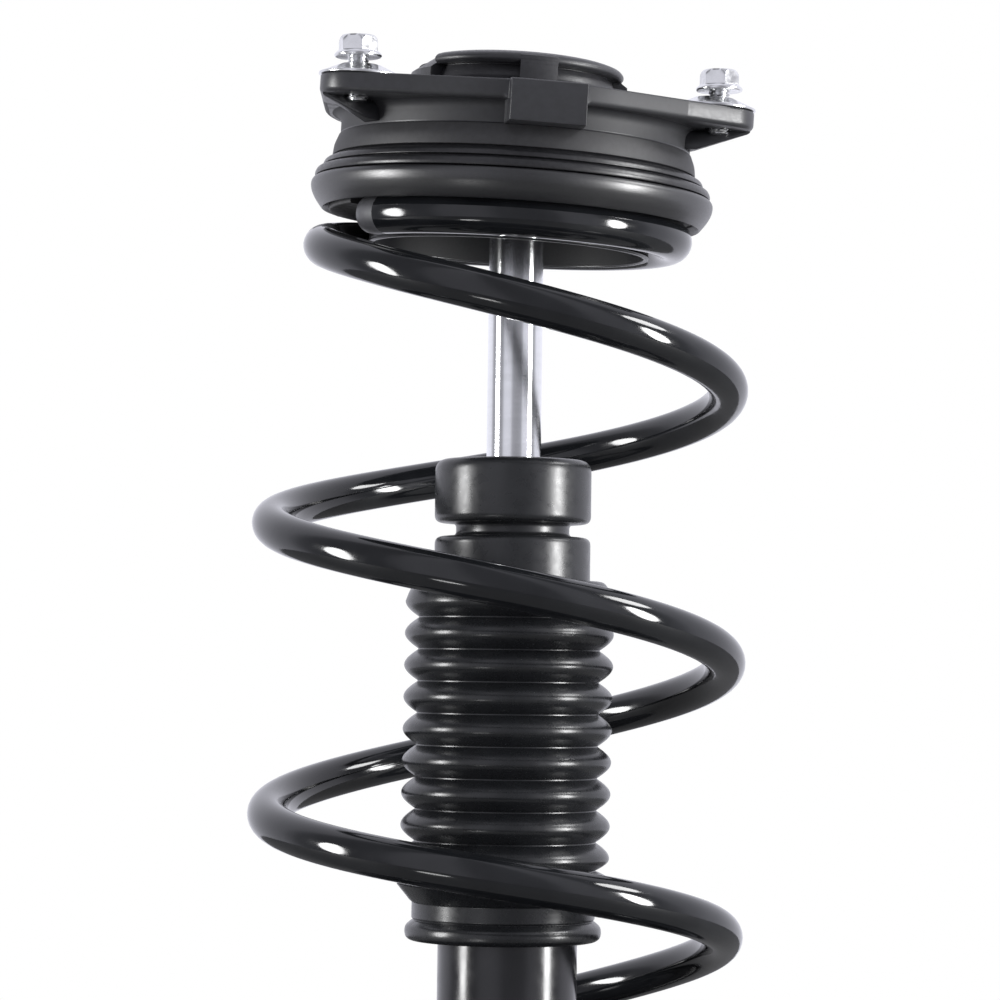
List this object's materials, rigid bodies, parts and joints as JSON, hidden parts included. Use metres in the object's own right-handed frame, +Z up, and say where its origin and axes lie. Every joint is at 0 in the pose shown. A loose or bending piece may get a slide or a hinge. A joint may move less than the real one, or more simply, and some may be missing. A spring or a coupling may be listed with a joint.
{
  "type": "strut assembly",
  "caption": "Front suspension strut: twin-tube damper, offset coil spring, ribbed dust boot, bump stop, spring seats and a bearing top mount.",
  "frame": {"origin": "centre of the damper tube's closed base", "axes": "+Z up along the piston rod, -X towards the knuckle ears and the wheel, +Y towards the sway bar link bracket"},
  "size_m": [0.1975, 0.1974, 0.5885],
  "materials": {
    "gloss_black_paint": "gloss black enamel",
    "spring_coating": "gloss black powder coat",
    "boot_rubber": "matt black ribbed rubber",
    "stop_rubber": "satin black cellular rubber",
    "pad_rubber": "matt black rubber",
    "chrome_rod": "hard chrome",
    "charcoal_casting": "satin charcoal coating on a die casting",
    "seat_black": "satin black, finely grained",
    "black_plastic": "satin black moulded plastic",
    "bright_zinc": "bright zinc plate",
    "bearing_steel": "ground bearing steel",
    "cage_polymer": "natural nylon",
    "plain_steel": "oiled turned steel",
    "sintered_steel": "sintered steel, matt",
    "piston_polymer": "bronze filled polymer"
  },
  "bodies": {
    "strut_body": {"strut_tube": "gloss_black_paint", "tube_base": "gloss_black_paint", "pressure_tube": "plain_steel", "base_valve": "sintered_steel", "rod_guide": "sintered_steel", "rod_seal": "pad_rubber", "striker_cap": "gloss_black_paint", "bump_stop": "stop_rubber", "dust_boot": "boot_rubber", "coil_spring": "spring_coating", "lower_spring_seat": "gloss_black_paint", "lower_seat_pad": "pad_rubber", "knuckle_bracket": "gloss_black_paint", "sway_bar_link_bracket": "gloss_black_paint", "brake_hose_bracket": "gloss_black_paint"},
    "upper_seat": {"upper_spring_seat": "seat_black", "upper_seat_pad": "pad_rubber", "bearing_lower_race": "bearing_steel"},
    "bearing_set": {"bearing_balls": "bearing_steel", "ball_cage": "cage_polymer"},
    "top_mount": {"bearing_upper_race": "bearing_steel", "bearing_upper_cover": "black_plastic", "bearing_adapter": "black_plastic", "mount_housing": "charcoal_casting", "mount_bush": "pad_rubber", "mount_top_cap": "black_plastic", "mount_bolts": "bright_zinc", "mount_washers": "bright_zinc"},
    "rod": {"piston_rod": "chrome_rod", "bush_core": "plain_steel", "rod_nut_washer": "bright_zinc", "rod_top_nut": "bright_zinc", "rebound_stop": "plain_steel", "piston": "sintered_steel", "piston_band": "piston_polymer", "piston_nut": "plain_steel"}
  },
  "joints": [
    {"name": "strut_travel", "type": "slide", "parent": "strut_body", "child": "upper_seat", "axis": [0, 0, -1], "range_m": [0, 0.092], "stiffness_N_per_m": 28000, "deforming": ["coil_spring"]},
    {"name": "steering_swivel", "type": "hinge", "parent": "upper_seat", "child": "top_mount", "pos_m": [0, 0, 0.572], "axis": [0.0506, -0.0209, 0.9985], "range_deg": [-40, 40]},
    {"name": "rod_turn", "type": "hinge", "parent": "upper_seat", "child": "rod", "pos_m": [0, 0, 0.572], "axis": [0, 0, 1], "range_deg": [-40, 40]},
    {"name": "ball_roll", "type": "hinge", "parent": "upper_seat", "child": "bearing_set", "pos_m": [0, 0, 0.572], "axis": [0.0506, -0.0209, 0.9985], "range_deg": [-20, 20]}
  ],
  "couplings": [
    {"joint": "rod_turn", "follows": "steering_swivel", "ratio": 1},
    {"joint": "ball_roll", "follows": "steering_swivel", "ratio": 0.5}
  ]
}
